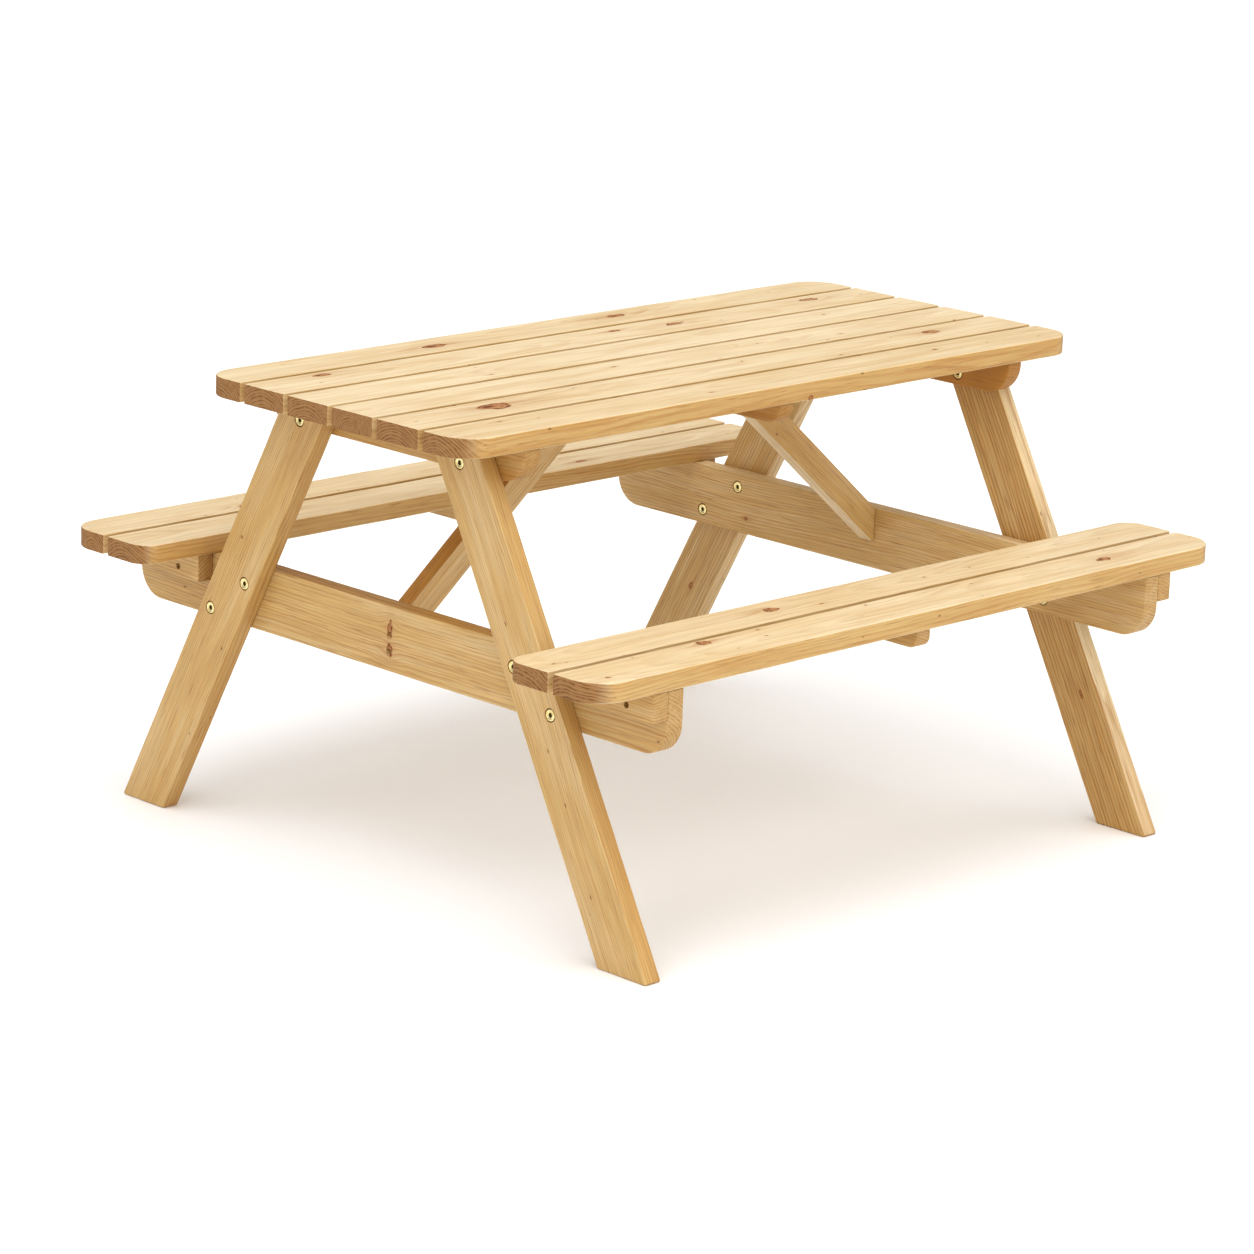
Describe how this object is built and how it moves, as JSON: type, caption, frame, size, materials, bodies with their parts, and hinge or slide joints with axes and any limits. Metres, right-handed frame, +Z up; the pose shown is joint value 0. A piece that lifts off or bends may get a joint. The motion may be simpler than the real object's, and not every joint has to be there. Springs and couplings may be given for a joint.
{
  "type": "picnic table",
  "caption": "Compact wooden A-frame picnic table with attached benches: planed pale pine boards on splayed legs, joined by brass-coloured socket-head bolts, standing on flat ground.",
  "frame": {"origin": "centre of the four feet, on the ground", "axes": "X along the boards, Y across from front seat to rear seat, Z up"},
  "size_m": [1.285, 1.1102, 0.7],
  "materials": {
    "pine_boards": "planed pale pine with knots, oiled",
    "pine_frame": "planed golden pine, sawn ends",
    "yellow_zinc": "yellow-passivated zinc plate on steel",
    "zinc_screws": "yellow-passivated countersunk wood screws"
  },
  "bodies": {
    "root": {"top_board_1": "pine_boards", "top_board_2": "pine_boards", "top_board_3": "pine_boards", "top_board_4": "pine_boards", "top_board_5": "pine_boards", "top_board_6": "pine_boards", "seat_board_front_inner": "pine_boards", "seat_board_front_outer": "pine_boards", "seat_board_rear_inner": "pine_boards", "seat_board_rear_outer": "pine_boards", "top_batten_left": "pine_frame", "top_batten_middle": "pine_frame", "top_batten_right": "pine_frame", "leg_left_front": "pine_frame", "leg_left_rear": "pine_frame", "leg_right_front": "pine_frame", "leg_right_rear": "pine_frame", "seat_bearer_left": "pine_frame", "seat_bearer_right": "pine_frame", "seat_batten_left_front": "pine_frame", "seat_batten_left_rear": "pine_frame", "seat_batten_right_front": "pine_frame", "seat_batten_right_rear": "pine_frame", "seat_cleat_front": "pine_frame", "seat_cleat_rear": "pine_frame", "brace_left": "pine_frame", "brace_right": "pine_frame", "connector_bolts": "yellow_zinc", "sleeve_nuts": "yellow_zinc", "end_batten_screws": "zinc_screws", "middle_batten_screws": "zinc_screws", "seat_batten_screws": "zinc_screws", "cleat_screws": "zinc_screws", "face_screws": "zinc_screws", "brace_foot_screws": "zinc_screws", "brace_top_screws": "zinc_screws"}
  },
  "joints": []
}
